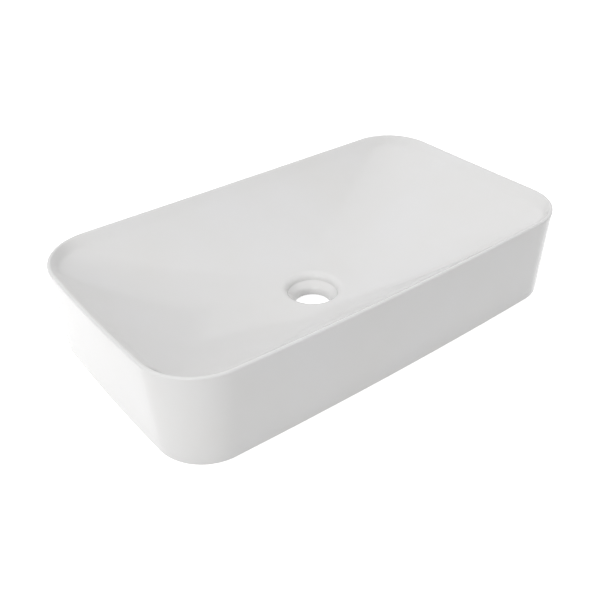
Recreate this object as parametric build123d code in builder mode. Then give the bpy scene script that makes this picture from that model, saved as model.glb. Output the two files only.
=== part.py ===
from build123d import *
import os
from math import cos, radians, sin, tan

# A countertop basin of glazed vitreous china, on four thin pads.
# Millimetres, +Z up. The origin is the middle of the pads' resting plane.
# X runs along the basin, Y from its front to its back.

# Overall size of the fired body, measured over the rim
basin_length = 600.0
basin_width = 345.0
basin_height = 122.0

# Rim outline in plan: each side swells a little between its corners
rim_corner_radius = 66.0
rim_end_bow = 4.9
rim_side_bow = 4.9

# Foot outline: the skirt leans in towards the foot
end_lean = 7.5
side_lean = 4.5
foot_corner_radius = 55.0
foot_end_bow = 5.0
foot_side_bow = 6.2
foot_edge_radius = 4.2

# Rim: rolled tight outside, and turning broadly inward to a short steep slope
rim_top_width = 7.5
outer_lip_radius = 2.5
lip_flat = 0.4
rim_slope_depth = 8.0
rim_slope_angle = 52.0

# Dish of the bowl, from the foot of the rim's slope down to the drain.
# The swells are how far its sections stand out past an even change, half way down.
floor_height = 33.0
dish_steepness = 1.5
dish_section_count = 8
dish_length_swell = 27.0
dish_corner_swell = 14.0
drain_plateau_margin = 4.0
drain_plateau_corner_radius = 34.0
drain_plateau_bow = 5.8

# Waste outlet at the middle of the dish
waste_hole_radius = 23.0
recess_radius = 33.0
recess_depth = 10.0
recess_edge_radius = 6.0
seat_depth = 9.0
seat_edge_radius = 2.0
boss_radius = 50.0
boss_lift = 5.0

# Fired clay thicknesses below the rim
skirt_thickness = 12.0
dish_thickness = 11.0
dish_side_growth = 4.6

# Foot ring that carries the basin
foot_ring_width = 18.0
foot_ring_height = 8.0

# Pads under the foot ring, one in each corner
pad_thickness = 1.5
pad_radius = 5.0
pad_edge_radius = 0.4
pad_inset = 10.0
pad_bearing = 45.0

# Room past the body for a cut that runs out of it
cut_margin = 5.0

foot_level = pad_thickness
rim_level = foot_level + basin_height
dish_top_level = rim_level - rim_slope_depth
floor_level = foot_level + floor_height
half_length = basin_length / 2
half_width = basin_width / 2
inner_roll_run = rim_top_width - outer_lip_radius - lip_flat
inner_lip_radius = inner_roll_run / tan(radians(rim_slope_angle / 2))
drain_plateau_radius = recess_radius + recess_edge_radius + drain_plateau_margin


def tub_outline(half_x, half_y, corner, end_bow, side_bow):
    """Draws a rounded rectangle with swelling sides in the sketch in hand."""
    left, right = -(half_x - end_bow), half_x - end_bow
    front, back = -(half_y - side_bow), half_y - side_bow
    with BuildLine() as sides:
        ThreePointArc((left, front), (0, -half_y), (right, front))
        ThreePointArc((right, front), (half_x, 0), (right, back))
        ThreePointArc((right, back), (0, half_y), (left, back))
        ThreePointArc((left, back), (-half_x, 0), (left, front))
    make_face(sides.edges())
    fillet(vertices(), corner)


def between(start, end, share):
    """The value that lies a share of the way from start to end."""
    return start + (end - start) * share


def skirt_outline(level, inset):
    """Draws the skirt's outline at a level, drawn in all round by inset."""
    rise = (level - foot_level) / basin_height
    tub_outline(
        half_length - between(end_lean, 0, rise) - inset,
        half_width - between(side_lean, 0, rise) - inset,
        between(foot_corner_radius, rim_corner_radius, rise) - inset,
        between(foot_end_bow, rim_end_bow, rise),
        between(foot_side_bow, rim_side_bow, rise),
    )


rim_slope_run = rim_slope_depth / tan(radians(rim_slope_angle))
dish_inset = rim_top_width + rim_slope_run


def dish_outline(share, growth):
    """Draws the dish's outline a share of the way down it, widened by growth."""
    swell = 4 * share * (1 - share)
    length_growth = growth + dish_length_swell * swell
    corner_growth = growth + dish_corner_swell * swell
    tub_outline(
        between(half_length - dish_inset, drain_plateau_radius, share) + length_growth,
        between(half_width - dish_inset, drain_plateau_radius, share) + growth,
        between(rim_corner_radius - dish_inset, drain_plateau_corner_radius, share) + corner_growth,
        between(rim_end_bow, drain_plateau_bow, share),
        between(rim_side_bow, drain_plateau_bow, share),
    )


def dish_level(share):
    """Height of the dish a share of the way from its edge to the drain."""
    return floor_level + (dish_top_level - floor_level) * (1 - share) ** dish_steepness


dish_shares = [step / (dish_section_count - 1) for step in range(dish_section_count)]


# Space inside the bowl: the dish, then the short slope up to the rim
with BuildPart() as bowl_space:
    for share in dish_shares:
        with BuildSketch(Plane.XY.offset(dish_level(share))):
            dish_outline(share, 0)
    loft()
    with BuildSketch(Plane.XY.offset(dish_top_level)):
        dish_outline(0, 0)
    with BuildSketch(Plane.XY.offset(rim_level)):
        dish_outline(0, rim_slope_run)
    loft(ruled=True)

# Clay of the dish: the same form, widened and let down by its thickness
with BuildPart() as dish_clay:
    for share in dish_shares:
        with BuildSketch(Plane.XY.offset(dish_level(share) - dish_thickness)):
            dish_outline(share, dish_side_growth)
    loft()
    with BuildSketch(Plane.XY.offset(dish_top_level - dish_thickness)):
        dish_outline(0, dish_side_growth)
    with BuildSketch(Plane.XY.offset(rim_level)):
        dish_outline(0, dish_side_growth)
    loft(ruled=True)

# Space under the dish, inside the skirt, open through the foot ring
ring_top_level = foot_level + foot_ring_height
with BuildPart() as under_space:
    with BuildSketch(Plane.XY.offset(ring_top_level)):
        skirt_outline(ring_top_level, skirt_thickness)
    with BuildSketch(Plane.XY.offset(dish_top_level - dish_thickness)):
        skirt_outline(dish_top_level - dish_thickness, skirt_thickness)
    loft(ruled=True)
    with BuildSketch(Plane.XY.offset(foot_level - cut_margin)):
        skirt_outline(foot_level, foot_ring_width)
    extrude(amount=foot_ring_height + cut_margin)
    add(dish_clay.part, mode=Mode.SUBTRACT)
    with BuildSketch(Plane.XY.offset(foot_level + boss_lift)):
        Circle(boss_radius)
    extrude(amount=floor_height, mode=Mode.SUBTRACT)

# Waste outlet: a soft-edged recess, a sloping seat and the straight hole
seat_level = floor_level - recess_depth
throat_level = seat_level - seat_depth
with BuildPart() as outlet_space:
    with BuildSketch(Plane.XZ):
        with BuildLine():
            FilletPolyline(
                (0, foot_level - cut_margin),
                (waste_hole_radius, foot_level - cut_margin),
                (waste_hole_radius, throat_level),
                (recess_radius, seat_level),
                (recess_radius, floor_level),
                (drain_plateau_radius, floor_level),
                (drain_plateau_radius, floor_level + cut_margin),
                (0, floor_level + cut_margin),
                radius=[0, 0, seat_edge_radius, seat_edge_radius, recess_edge_radius, 0, 0, 0],
                close=True,
            )
        make_face()
    revolve(axis=Axis.Z)

with BuildPart() as basin_body:
    for level in (foot_level, rim_level):
        with BuildSketch(Plane.XY.offset(level)):
            skirt_outline(level, 0)
    loft(ruled=True)
    fillet(basin_body.faces().sort_by(Axis.Z)[0].edges(), foot_edge_radius)
    fillet(basin_body.faces().sort_by(Axis.Z)[-1].edges(), outer_lip_radius)
    add(under_space.part, mode=Mode.SUBTRACT)
    add(bowl_space.part, mode=Mode.SUBTRACT)
    add(outlet_space.part, mode=Mode.SUBTRACT)
    rim_face = basin_body.faces().filter_by(GeomType.PLANE).sort_by(Axis.Z)[-1]
    fillet(rim_face.inner_wires()[0].edges(), inner_lip_radius)
basin_body.part.label = "basin_body"

# Pads: thin soft discs stuck under the foot ring's corners
corner_x = half_length - end_lean - foot_end_bow - foot_corner_radius
corner_y = half_width - side_lean - foot_side_bow - foot_corner_radius
pad_reach = foot_corner_radius - pad_inset
pad_x = corner_x + pad_reach * cos(radians(pad_bearing))
pad_y = corner_y + pad_reach * sin(radians(pad_bearing))
pad_places = {
    "pad_front_left": (-pad_x, -pad_y),
    "pad_front_right": (pad_x, -pad_y),
    "pad_back_left": (-pad_x, pad_y),
    "pad_back_right": (pad_x, pad_y),
}

os.makedirs("parts", exist_ok=True)
export_step(basin_body.part, "parts/basin_body.step")
for pad_name, pad_place in pad_places.items():
    with BuildPart() as pad:
        with BuildSketch(Plane.XY):
            with Locations(pad_place):
                Circle(pad_radius)
        extrude(amount=pad_thickness)
        fillet(pad.faces().sort_by(Axis.Z)[0].edges(), pad_edge_radius)
    pad.part.label = pad_name
    export_step(pad.part, f"parts/{pad_name}.step")
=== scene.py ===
import math

import bmesh
import bpy
import numpy as np
from mathutils import Matrix, Vector


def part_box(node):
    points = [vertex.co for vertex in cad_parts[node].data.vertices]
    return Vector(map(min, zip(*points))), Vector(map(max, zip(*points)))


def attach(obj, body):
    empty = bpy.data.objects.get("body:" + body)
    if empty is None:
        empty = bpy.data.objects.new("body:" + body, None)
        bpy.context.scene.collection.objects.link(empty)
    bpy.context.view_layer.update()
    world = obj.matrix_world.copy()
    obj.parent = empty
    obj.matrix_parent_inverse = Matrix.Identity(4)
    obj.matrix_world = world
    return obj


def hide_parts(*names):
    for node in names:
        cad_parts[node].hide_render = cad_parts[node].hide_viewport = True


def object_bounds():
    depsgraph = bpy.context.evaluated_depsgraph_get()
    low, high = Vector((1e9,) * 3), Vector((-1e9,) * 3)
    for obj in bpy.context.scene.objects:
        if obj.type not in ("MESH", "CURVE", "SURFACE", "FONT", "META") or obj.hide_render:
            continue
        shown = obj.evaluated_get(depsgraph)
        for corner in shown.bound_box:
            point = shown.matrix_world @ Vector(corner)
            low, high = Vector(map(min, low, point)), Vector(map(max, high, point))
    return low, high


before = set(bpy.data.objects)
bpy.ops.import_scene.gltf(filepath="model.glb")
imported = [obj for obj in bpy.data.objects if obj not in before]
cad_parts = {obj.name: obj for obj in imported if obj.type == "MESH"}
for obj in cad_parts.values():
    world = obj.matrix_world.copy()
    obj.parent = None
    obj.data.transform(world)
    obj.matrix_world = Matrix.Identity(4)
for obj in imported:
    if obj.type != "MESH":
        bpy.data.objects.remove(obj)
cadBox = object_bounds()
scene = bpy.context.scene

cameraView = {
    "azimuth": -37.456,      # degrees round from the front, below 0 to the left
    "elevation": 34.403,
    "roll": -0.757,
    "distance": 1.019766,    # metres from the aim point
    "aim": (0.0, 0.0, 0.0615),
    "slideRight": -0.015919,  # the aim point sits a little off the picture's middle
    "slideUp": -0.039232,
    "focalPixels": 798.033,  # in a 600 pixel wide picture
    "pictureWidth": 600,
    "sensor": 36.0,
}


def towards(azimuth, elevation):
    # unit vector from the basin, turned from the front and raised, in radians
    flat = math.cos(elevation)
    return Vector((math.sin(azimuth) * flat, -math.cos(azimuth) * flat, math.sin(elevation)))


def makeCamera(view):
    azimuth = math.radians(view["azimuth"])
    elevation = math.radians(view["elevation"])
    roll = math.radians(view["roll"])
    back = towards(azimuth, elevation)
    level = (-back).cross(Vector((0, 0, 1))).normalized()
    upright = level.cross(-back)
    right = level * math.cos(roll) + upright * math.sin(roll)
    up = upright * math.cos(roll) - level * math.sin(roll)
    slide = right * view["slideRight"] + up * view["slideUp"]
    place = Vector(view["aim"]) + back * view["distance"] + slide
    pose = Matrix((right, up, back)).transposed().to_4x4()
    pose.translation = place
    data = bpy.data.cameras.new("camera")
    data.sensor_width = view["sensor"]
    data.lens = view["focalPixels"] / view["pictureWidth"] * view["sensor"]
    camera = bpy.data.objects.new("camera", data)
    camera.matrix_world = pose
    scene.collection.objects.link(camera)
    scene.camera = camera


makeCamera(cameraView)
print("camera placed")


def linear(hexColour):
    channels = [int(hexColour[i:i + 2], 16) / 255 for i in (1, 3, 5)]
    return [c / 12.92 if c <= 0.04045 else ((c + 0.055) / 1.055) ** 2.4 for c in channels] + [1.0]


def addNode(tree, kind, settings=None, values=None, links=None):
    node = tree.nodes.new(kind)
    for name, value in (settings or {}).items():
        setattr(node, name, value)
    for name, value in (values or {}).items():
        node.inputs[name].default_value = value
    for name, source in (links or {}).items():
        tree.links.new(source, node.inputs[name])
    return node


def newMaterial(name):
    material = bpy.data.materials.new(name)
    material.use_nodes = True
    material.node_tree.nodes.clear()
    return material


# Vitreous china under a clear gloss glaze, dipped and fired: to the eye an even white with a soft
# deep shine, very slightly wavy, and dry and creamy where the foot stood unglazed in the kiln.
china = {
    "glaze": "#EDEDEE",
    "glazeThin": "#E9E8E6",      # where the glaze lies thinner
    "bisque": "#E4DDD0",
    "glazeRoughness": 0.07,
    "glazeIor": 1.5,
    "bisqueRoughness": 0.85,
    "cloudMillimetres": 90.0,    # size of the faint change in the glaze's depth
    "waveMillimetres": 14.0,     # orange peel of the glaze
    "waveStrength": 0.012,
    "waveHeight": 0.002,
    "grainMillimetres": 0.9,     # bisque grain is finer than this, and drawn coarser to show
    "grainStrength": 0.35,
    "grainHeight": 0.0003,
    "unglazedBelow": 0.0021,     # metres above the pads' plane
    "unglazedFade": 0.0009,
}


# a Mix node that blends colours has its share on socket 0, and the colours on 6 and 7
def glazedChina(look):
    material = newMaterial("glazedVitreousChina")
    tree = material.node_tree
    place = addNode(tree, "ShaderNodeTexCoord").outputs["Object"]
    cloud = addNode(tree, "ShaderNodeTexNoise", links={"Vector": place},
                    values={"Scale": 1000 / look["cloudMillimetres"], "Detail": 2.0})
    glaze = addNode(tree, "ShaderNodeMix", {"data_type": "RGBA"},
                    {6: linear(look["glazeThin"]), 7: linear(look["glaze"])}, {0: cloud.outputs["Fac"]})
    split = addNode(tree, "ShaderNodeSeparateXYZ", links={"Vector": place})
    fade = {"From Min": look["unglazedBelow"] + look["unglazedFade"], "From Max": look["unglazedBelow"]}
    bare = addNode(tree, "ShaderNodeMapRange", values=fade,
                   links={"Value": split.outputs["Z"]}).outputs["Result"]
    colour = addNode(tree, "ShaderNodeMix", {"data_type": "RGBA"}, {7: linear(look["bisque"])},
                     {0: bare, 6: glaze.outputs[2]})
    roughness = addNode(tree, "ShaderNodeMapRange", links={"Value": bare},
                        values={"To Min": look["glazeRoughness"], "To Max": look["bisqueRoughness"]})
    wave = addNode(tree, "ShaderNodeTexNoise", links={"Vector": place},
                   values={"Scale": 1000 / look["waveMillimetres"], "Detail": 1.0})
    grain = addNode(tree, "ShaderNodeTexNoise", links={"Vector": place},
                    values={"Scale": 1000 / look["grainMillimetres"], "Detail": 3.0})
    bareGrain = addNode(tree, "ShaderNodeMath", {"operation": "MULTIPLY"},
                        links={0: grain.outputs["Fac"], 1: bare})
    waveBump = addNode(tree, "ShaderNodeBump", links={"Height": wave.outputs["Fac"]},
                       values={"Strength": look["waveStrength"], "Distance": look["waveHeight"]})
    grainBump = addNode(tree, "ShaderNodeBump",
                        links={"Height": bareGrain.outputs[0], "Normal": waveBump.outputs["Normal"]},
                        values={"Strength": look["grainStrength"], "Distance": look["grainHeight"]})
    shader = addNode(tree, "ShaderNodeBsdfPrincipled", values={"IOR": look["glazeIor"]}, links={
        "Base Color": colour.outputs[2], "Roughness": roughness.outputs["Result"],
        "Normal": grainBump.outputs["Normal"]})
    addNode(tree, "ShaderNodeOutputMaterial", links={"Surface": shader.outputs["BSDF"]})
    return material


# Soft die-cut rubber of the pads: matt pale grey, with a faint moulded grain.
padRubber = {
    "colour": "#A6A6A1",
    "speck": "#9A9A95",
    "roughness": 0.72,
    "ior": 1.52,
    "grainMillimetres": 0.8,
    "grainStrength": 0.3,
    "grainHeight": 0.0002,
}


def dieCutRubber(look):
    material = newMaterial("dieCutPadRubber")
    tree = material.node_tree
    place = addNode(tree, "ShaderNodeTexCoord").outputs["Object"]
    grain = addNode(tree, "ShaderNodeTexNoise", links={"Vector": place},
                    values={"Scale": 1000 / look["grainMillimetres"], "Detail": 4.0})
    colour = addNode(tree, "ShaderNodeMix", {"data_type": "RGBA"},
                     {6: linear(look["colour"]), 7: linear(look["speck"])}, {0: grain.outputs["Fac"]})
    bump = addNode(tree, "ShaderNodeBump", links={"Height": grain.outputs["Fac"]},
                   values={"Strength": look["grainStrength"], "Distance": look["grainHeight"]})
    shader = addNode(tree, "ShaderNodeBsdfPrincipled",
                     values={"IOR": look["ior"], "Roughness": look["roughness"]},
                     links={"Base Color": colour.outputs[2], "Normal": bump.outputs["Normal"]})
    addNode(tree, "ShaderNodeOutputMaterial", links={"Surface": shader.outputs["BSDF"]})
    return material


# The china body, in millimetres. Its ends and sides swell, its rim sags a little between the
# corners, and a sloping band leads from the narrow crest down to the dish.
basin = {
    "footLean": (7.5, 4.5),        # pairs are for the short ends, then the long sides
    "rimCorner": 66.0,
    "footCorner": 55.0,
    "rimBow": (4.9, 4.9),
    "footBow": (5.0, 6.2),
    "footEdge": 4.2,
    "rimSag": (3.6, 3.3),
    "outerLip": 2.0,
    "innerLip": 2.0,
    "edgeInset": (17.0, 14.0),     # where the rim's slope meets the dish
    "edgeCorner": 41.0,
    "edgeDepth": 12.5,
    "edgeSoftness": 4.0,
    "dishSteepness": 1.6,
    "dishSwell": (16.0, 0.0),
    "dishCornerSwell": 22.0,
    "dishSquareness": 2.2,         # 2 is a round corner, more is softer and squarer
    "floorHeight": 33.0,
    "plateauRadius": 43.0,
    "plateauCorner": 34.0,
    "plateauBow": (5.8, 5.8),
    "recessRadius": 32.0,
    "recessEdge": 9.0,
    "recessDepth": 10.0,
    "seatDepth": 9.0,
    "seatEdge": 5.0,
    "holeRadius": 23.0,
    "holeEdge": 2.0,
    "bossRadius": 50.0,
    "bossLift": 5.0,
    "dishThickness": 11.0,
    "dishSideGrowth": 4.6,
    "skirtThickness": 12.0,
    "footRingWidth": 18.0,
    "footRingHeight": 8.0,
    "innerEdge": 1.5,              # softness of the edges underneath
    "spokes": 480,                 # points round each ring
    "skirtRings": 18,
    "bandRings": (0.25, 0.5),      # how far down the rim's slope two rings lie
    "dishRings": 48,
    "dishCrowding": 1.15,          # above 1 the rings stand closer near the rim
    "underRings": 22,
    "skirtInsideRings": 8,
    "turnRings": 7,
    "underSpan": (0.08, 0.97),     # where the dish's underside has rings, from the boss to the skirt
    "skirtInsideSpan": (0.2, 0.9),  # the same, down the skirt's inside
}
millimetre = 0.001
halfSize = (cadBox[1][0] / millimetre, cadBox[1][1] / millimetre)
rimLevel = cadBox[1][2] / millimetre
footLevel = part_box("pad_front_left")[1][2] / millimetre


def between(start, end, share):
    return start + (end - start) * share


halvings = 44            # steps that find where a spoke meets an outline
outlineSamples = 20001
underSamples = 61


def outlineReach(angle, halves, corner, bow, squareness=2.0):
    # distance from the middle to a rounded rectangle with swelling sides, along each spoke
    near, far = np.zeros_like(angle), np.full_like(angle, 2 * halves[0])
    for _ in range(halvings):
        reach = (near + far) / 2
        x, y = abs(reach * np.cos(angle)), abs(reach * np.sin(angle))
        overX = np.maximum(x - halves[0] + corner + bow[0] * (y / halves[1]) ** 2, 0)
        overY = np.maximum(y - halves[1] + corner + bow[1] * (x / halves[0]) ** 2, 0)
        outside = (overX ** squareness + overY ** squareness) > corner ** squareness
        near, far = np.where(outside, near, reach), np.where(outside, reach, far)
    return (near + far) / 2


def evenSpokes(shape):
    # spokes that cut the rim's outline into even steps
    angle = np.linspace(0, 2 * np.pi, outlineSamples)
    reach = outlineReach(angle, halfSize, shape["rimCorner"], shape["rimBow"])
    step = np.hypot(np.diff(reach * np.cos(angle)), np.diff(reach * np.sin(angle)))
    run = np.concatenate([[0], np.cumsum(step)])
    return np.interp(np.arange(shape["spokes"]) * run[-1] / shape["spokes"], run, angle)


def ring(reach, level):
    return np.stack([reach + 0 * level, level + 0 * reach])


def turned(before, corner, after, size, steps):
    # a soft turn in place of a corner of the section, taking at most half of each side
    back, on = before - corner, after - corner
    start = corner + back * np.minimum(size / np.linalg.norm(back, axis=0), 0.5)
    end = corner + on * np.minimum(size / np.linalg.norm(on, axis=0), 0.5)
    shares = np.linspace(0, 1, steps)
    return [between(between(start, corner, t), between(corner, end, t), t) for t in shares]


def quarter(steps):
    return [t * math.pi / 2 for t in np.linspace(0, 1, steps)]


def skirtRing(shape, angle, level, inset):
    rise = (level - footLevel) / (rimLevel - footLevel)
    halves = [h - between(lean, 0, rise) - inset for h, lean in zip(halfSize, shape["footLean"])]
    bow = [between(foot, rim, rise) for foot, rim in zip(shape["footBow"], shape["rimBow"])]
    corner = between(shape["footCorner"], shape["rimCorner"], rise) - inset
    return ring(outlineReach(angle, halves, corner, bow), np.zeros_like(angle) + level)


def dishRing(shape, angle, share, growth=0.0, drop=0.0):
    # a share of the way from the dish's edge, 0, to the drain, 1
    swell = 4 * share * (1 - share)      # 1 half way down
    halves = [between(half - inset, shape["plateauRadius"], share) + growth + bulge * swell
              for half, inset, bulge in zip(halfSize, shape["edgeInset"], shape["dishSwell"])]
    corner = between(shape["edgeCorner"], shape["plateauCorner"], share) + growth
    corner += shape["dishCornerSwell"] * swell
    bow = [between(rim, low, share) for rim, low in zip(shape["rimBow"], shape["plateauBow"])]
    squareness = between(shape["dishSquareness"], 2.0, share)
    fall = 1 - (1 - share) ** shape["dishSteepness"]
    level = between(rimLevel - shape["edgeDepth"], footLevel + shape["floorHeight"], fall) - drop
    return ring(outlineReach(angle, halves, corner, bow, squareness), np.zeros_like(angle) + level)


def skirtRings(shape, angle):
    # from the foot's soft edge up to the rolled lip
    edge, lip, turn = shape["footEdge"], shape["outerLip"], shape["turnRings"]
    rings = [skirtRing(shape, angle, footLevel + edge * (1 - math.sin(t)), edge * (1 - math.cos(t)))
             for t in reversed(quarter(turn))]
    rings += [skirtRing(shape, angle, between(footLevel + edge, rimLevel - lip, t), 0)
              for t in np.linspace(0, 1, shape["skirtRings"])[1:-1]]
    return rings + [skirtRing(shape, angle, rimLevel - lip * (1 - math.sin(t)), lip * (1 - math.cos(t)))
                    for t in quarter(turn)]


def bowlRings(shape, angle):
    # the narrow crest, the sloping band and the dish
    lip, turn = shape["outerLip"], shape["turnRings"]
    crest = skirtRing(shape, angle, rimLevel, lip)
    crestEnd = skirtRing(shape, angle, rimLevel, lip + shape["innerLip"])
    dishEdge = dishRing(shape, angle, 0)
    rings = turned(crest, crestEnd, dishEdge, shape["innerLip"], turn)
    rings += [between(rings[-1], dishEdge, t) for t in shape["bandRings"]]
    shares = np.linspace(0, 1, shape["dishRings"]) ** shape["dishCrowding"]
    rings += turned(rings[-1], dishEdge, dishRing(shape, angle, shares[2]), shape["edgeSoftness"], turn)
    return rings + [dishRing(shape, angle, share) for share in shares[2:]]


def wasteRings(shape, angle):
    # soft edge, recess, sloping seat, hole and the boss's face; the last stop only gives a direction
    flat, turn, soft = np.zeros_like(angle), shape["turnRings"], shape["recessEdge"]
    recess, hole, boss = shape["recessRadius"], shape["holeRadius"], shape["bossRadius"]
    floorLevel, bossLevel = footLevel + shape["floorHeight"], footLevel + shape["bossLift"]
    seatLevel = floorLevel - shape["recessDepth"]
    rings = [ring(flat + recess + soft * (1 - math.sin(t)), flat + floorLevel - soft * (1 - math.cos(t)))
             for t in quarter(turn)]
    stops = [(recess, floorLevel - soft), (recess, seatLevel), (hole, seatLevel - shape["seatDepth"]),
             (hole, bossLevel), (boss, bossLevel), (boss, floorLevel)]
    stops = [ring(flat + radius, flat + level) for radius, level in stops]
    sizes = [shape["seatEdge"], shape["seatEdge"], shape["holeEdge"], shape["innerEdge"]]
    for before, stop, after, size in zip(stops, stops[1:], stops[2:], sizes):
        rings += turned(before, stop, after, size, turn)
    return rings


def undersideRings(shape, angle):
    # from the boss out to the inside of the skirt, and down to the foot ring
    turn, soft = shape["turnRings"], shape["innerEdge"]
    grid = np.linspace(0, 1, underSamples)
    under = np.array([dishRing(shape, angle, share, shape["dishSideGrowth"], shape["dishThickness"])
                      for share in grid])
    inside = np.array([skirtRing(shape, angle, level, shape["skirtThickness"])[0]
                       for level in under[:, 1, 0]])
    gap, spokes = under[:, 0] - inside, range(len(angle))
    meets = np.array([np.interp(0, gap[::-1, i], grid[::-1]) for i in spokes])
    leaves = np.array([np.interp(-shape["bossRadius"], -under[:, 0, i], grid) for i in spokes])

    def underAt(share):
        return np.array([[np.interp(share[i], grid, under[:, k, i]) for i in spokes] for k in (0, 1)])

    flat = np.zeros_like(angle)
    boss = ring(flat + shape["bossRadius"], flat + footLevel + shape["bossLift"])
    first, last = shape["underSpan"]
    firstRing = underAt(between(leaves, meets, first))
    rings = turned(boss, underAt(leaves), firstRing, soft * 2, turn)
    rings += [underAt(between(leaves, meets, t)) for t in np.linspace(first, last, shape["underRings"])]
    skirtJoin, ringTop = underAt(meets), footLevel + shape["footRingHeight"]
    lowIn = skirtRing(shape, angle, ringTop, shape["skirtThickness"])
    first, last = shape["skirtInsideSpan"]
    rings += turned(rings[-1], skirtJoin, between(skirtJoin, lowIn, first), soft * 2, turn)
    rings += [between(skirtJoin, lowIn, t) for t in np.linspace(first, last, shape["skirtInsideRings"])]
    stops = [rings[-1], lowIn, skirtRing(shape, angle, ringTop, shape["footRingWidth"]),
             skirtRing(shape, angle, footLevel, shape["footRingWidth"]),
             skirtRing(shape, angle, footLevel, shape["footEdge"])]
    for before, stop, after in zip(stops, stops[1:], stops[2:]):
        rings += turned(before, stop, after, soft, turn)
    return rings


def sagOf(shape, angle):
    # how far the rim hangs at each spoke: most in the middle of an end or side, nearly none at a corner
    rim = outlineReach(angle, halfSize, shape["rimCorner"], shape["rimBow"])
    x, y = abs(rim * np.cos(angle)) / halfSize[0], abs(rim * np.sin(angle)) / halfSize[1]
    endSag, sideSag = shape["rimSag"]
    return endSag * (1 - y ** 2) * x ** 3 + sideSag * (1 - x ** 2) * y ** 3


def makeBasin(shape):
    angle = evenSpokes(shape)
    parts = (skirtRings, bowlRings, wasteRings, undersideRings)
    section = np.array([one for part in parts for one in part(shape, angle)])
    reach, level = section[:, 0], section[:, 1]
    rise = np.clip((level - footLevel) / (rimLevel - footLevel), 0, 1)
    level = level - sagOf(shape, angle) * rise ** 2      # the sag dies away towards the foot
    points = np.stack([reach * np.cos(angle), reach * np.sin(angle), level], axis=2)
    count, spokes = reach.shape
    here, spoke = np.meshgrid(np.arange(count), np.arange(spokes), indexing="ij")
    up, on = (here + 1) % count, (spoke + 1) % spokes    # the section and the rings both close
    corners = [here * spokes + spoke, here * spokes + on, up * spokes + on, up * spokes + spoke]
    faces = np.stack(corners, axis=2).reshape(-1, 4)
    mesh = bpy.data.meshes.new("chinaBasin")
    mesh.from_pydata((points.reshape(-1, 3) * millimetre).tolist(), [], faces.tolist())
    mesh.polygons.foreach_set("use_smooth", [True] * len(faces))
    mesh.update()
    mesh.validate()
    piece = bpy.data.objects.new("chinaBasin", mesh)
    scene.collection.objects.link(piece)
    mesh.materials.append(glazedChina(china))
    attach(piece, "root")
    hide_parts("basin_body")
    return piece


body = makeBasin(basin)
print("basin made with", len(body.data.polygons), "faces")

rubberMaterial = dieCutRubber(padRubber)
for name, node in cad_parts.items():
    if name != "basin_body":
        node.data.materials.clear()
        node.data.materials.append(rubberMaterial)
print("pads finished")


# Studio sweep: white where it is seen directly, and it still takes the basin's shadow.
studioFloor = {
    "size": 6.0,
    "gap": 0.0001,       # keeps the floor just clear of the pads
    "colour": "#E6E6E6",
    "white": "#FFFFFF",
    "lift": 0.93,        # how far the floor's own white hides the shadow from the camera
}


def seenDirectly(tree):
    # 1 for rays that show the white itself: from the camera, in gloss or through glass
    path = addNode(tree, "ShaderNodeLightPath").outputs
    shown = addNode(tree, "ShaderNodeMath", {"operation": "MAXIMUM"},
                    links={0: path["Is Camera Ray"], 1: path["Is Glossy Ray"]})
    return addNode(tree, "ShaderNodeMath", {"operation": "MAXIMUM"},
                   links={0: shown.outputs[0], 1: path["Is Transmission Ray"]}).outputs[0]


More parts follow.
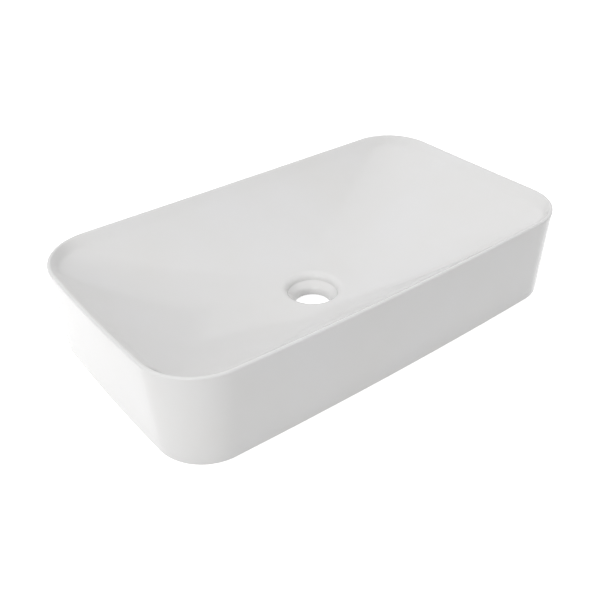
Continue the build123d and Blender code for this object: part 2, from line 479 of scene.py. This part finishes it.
def whiteFloor(look):
    material = newMaterial("matWhitePaperSweep")
    tree = material.node_tree
    matt = addNode(tree, "ShaderNodeBsdfDiffuse", values={"Color": linear(look["colour"])})
    white = addNode(tree, "ShaderNodeEmission",
                    values={"Color": linear(look["white"]), "Strength": look["lift"]})
    both = addNode(tree, "ShaderNodeAddShader", links={0: matt.outputs[0], 1: white.outputs[0]})
    shader = addNode(tree, "ShaderNodeMixShader",
                     links={"Fac": seenDirectly(tree), 1: matt.outputs[0], 2: both.outputs[0]})
    addNode(tree, "ShaderNodeOutputMaterial", links={"Surface": shader.outputs[0]})
    mesh = bpy.data.meshes.new("floor")
    grid = bmesh.new()
    bmesh.ops.create_grid(grid, x_segments=1, y_segments=1, size=look["size"] / 2)
    grid.to_mesh(mesh)
    grid.free()
    mesh.materials.append(material)
    floor = bpy.data.objects.new("floor", mesh)
    floor.location.z = -look["gap"]
    scene.collection.objects.link(floor)


whiteFloor(studioFloor)

# Room light: an even pale world, seen as white, and large soft lamps.
room = {
    "white": "#FFFFFF",
    "seen": 1.0,
    "fill": 0.345,
}
lampDistance, lampAim = 2.4, Vector((0, 0, 0.06))
softLamps = {
    # name: (degrees from the front round by the right, elevation, width, watts, seen in the glaze)
    "leftLow": (282, 28, 0.8, 11.0, False),
    "frontLeft": (302, 26, 0.8, 7.2, True),
    "overhead": (0, 88, 1.4, 18.6, False),
    "right": (90, 50, 1.4, 3.6, False),
    "back": (180, 20, 1.4, 7.2, False),
}


def makeRoom(look):
    world = bpy.data.worlds.new("room")
    scene.world = world
    world.use_nodes = True
    tree = world.node_tree
    tree.nodes.clear()
    white = linear(look["white"])
    fill = addNode(tree, "ShaderNodeBackground", values={"Color": white, "Strength": look["fill"]})
    seen = addNode(tree, "ShaderNodeBackground", values={"Color": white, "Strength": look["seen"]})
    both = addNode(tree, "ShaderNodeMixShader",
                   links={"Fac": seenDirectly(tree), 1: fill.outputs[0], 2: seen.outputs[0]})
    addNode(tree, "ShaderNodeOutputWorld", links={"Surface": both.outputs[0]})


def makeLamp(name, azimuth, elevation, width, watts, inGlaze):
    way = towards(math.radians(azimuth), math.radians(elevation))
    data = bpy.data.lights.new(name, "AREA")
    data.size = width
    data.energy = watts
    lamp = bpy.data.objects.new(name, data)
    lamp.location = lampAim + way * lampDistance
    lamp.visible_glossy = inGlaze
    lamp.rotation_mode = "QUATERNION"
    lamp.rotation_quaternion = way.to_track_quat("Z", "Y")
    scene.collection.objects.link(lamp)


makeRoom(room)
for lampName, lampValues in softLamps.items():
    makeLamp(lampName, *lampValues)
print("studio lit")

scene.view_settings.view_transform = "Standard"
